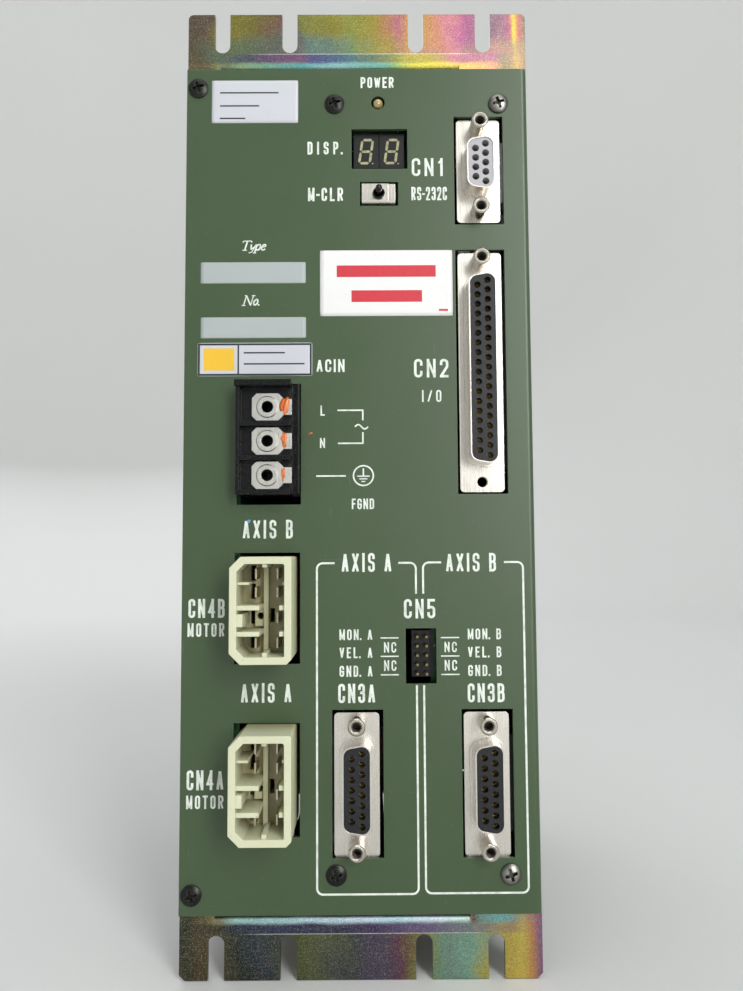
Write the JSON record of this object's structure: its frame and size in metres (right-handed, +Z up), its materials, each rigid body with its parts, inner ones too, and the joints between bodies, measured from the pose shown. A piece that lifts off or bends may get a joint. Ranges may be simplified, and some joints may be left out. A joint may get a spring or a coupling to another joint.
{
  "type": "two-axis servo driver",
  "caption": "Slim cabinet-mount servo driver box with slotted flanges, green front panel, D-sub and motor sockets, terminal block, small display and a spring-return toggle.",
  "frame": {"origin": "centre of the flange slot pattern, on the flanges' rear bearing plane", "axes": "+Z up along the tall side, -Y out of the front panel, +X to the right seen from the front"},
  "size_m": [0.099, 0.1572, 0.274],
  "materials": {
    "chromated_steel": "iridescent yellow chromate",
    "green_paint": "semi-gloss",
    "aluminium": "as extruded",
    "black_screw": "black oxide",
    "plated_screw": "zinc plated",
    "circuit_board": "solder mask",
    "black_plastic": "moulded",
    "chip_plastic": "moulded",
    "brass_plated": "nickel plated brass",
    "nickel": "bright plated",
    "grey_insulator": "moulded",
    "black_insulator": "moulded",
    "gold_contact": "gold plated",
    "tin_contact": "tin plated",
    "ivory_nylon": "moulded nylon",
    "lamp_lens": "clear epoxy",
    "toggle_black": "polished",
    "capacitor_sleeve": "shrink sleeve",
    "ferrite": "sintered",
    "bobbin_tape": "polyester tape",
    "thermal_rubber": "filled silicone",
    "fuse_glass": "clear glass"
  },
  "bodies": {
    "driver": {"axis_a_board": "circuit_board", "axis_a_chips": "chip_plastic", "axis_b_board": "circuit_board", "axis_b_chips": "chip_plastic", "backplane_board": "circuit_board", "backplane_sockets": "black_plastic", "backplane_standoffs": "brass_plated", "board_brackets": "brass_plated", "board_screws": "plated_screw", "bracket_screws": "black_screw", "bridge_rectifier": "chip_plastic", "bus_capacitors": "capacitor_sleeve", "chassis": "chromated_steel", "corner_screws": "black_screw", "cover_screws": "plated_screw", "display_board": "circuit_board", "display_digits": "black_plastic", "display_link": "black_plastic", "encoder_a_connector_contacts": "gold_contact", "encoder_a_connector_insulator": "black_insulator", "encoder_a_connector_shell": "nickel", "encoder_b_connector_contacts": "gold_contact", "encoder_b_connector_insulator": "black_insulator", "encoder_b_connector_shell": "nickel", "front_cover": "green_paint", "fuse": "fuse_glass", "fuse_clips": "nickel", "heat_sink": "aluminium", "heat_sink_screws": "black_screw", "inrush_relay": "black_plastic", "io_connector_contacts": "gold_contact", "io_connector_insulator": "black_insulator", "io_connector_shell": "nickel", "jack_nuts": "nickel", "jack_posts": "nickel", "line_choke": "ferrite", "monitor_header_body": "black_plastic", "monitor_header_pins": "gold_contact", "motor_a_blades": "tin_contact", "motor_a_housing": "ivory_nylon", "motor_b_blades": "tin_contact", "motor_b_housing": "ivory_nylon", "power_board": "circuit_board", "power_lamp": "lamp_lens", "power_modules": "chip_plastic", "power_standoffs": "brass_plated", "processor_board": "circuit_board", "processor_chips": "chip_plastic", "serial_connector_contacts": "gold_contact", "serial_connector_insulator": "grey_insulator", "serial_connector_shell": "nickel", "terminal_block": "black_plastic", "terminal_plates": "nickel", "thermal_pads": "thermal_rubber", "toggle_body": "black_plastic", "toggle_bracket": "nickel", "toggle_bushing": "toggle_black", "transformer_bobbin": "bobbin_tape", "transformer_core": "ferrite"},
    "toggle": {"toggle_lever": "toggle_black"}
  },
  "joints": [
    {"name": "toggle_throw", "type": "hinge", "parent": "driver", "child": "toggle", "pos_m": [0.0061, -0.0012, 0.08215], "axis": [0, 0, 1], "range_deg": [-12, 12], "stiffness_Nm_per_rad": 0.002}
  ]
}
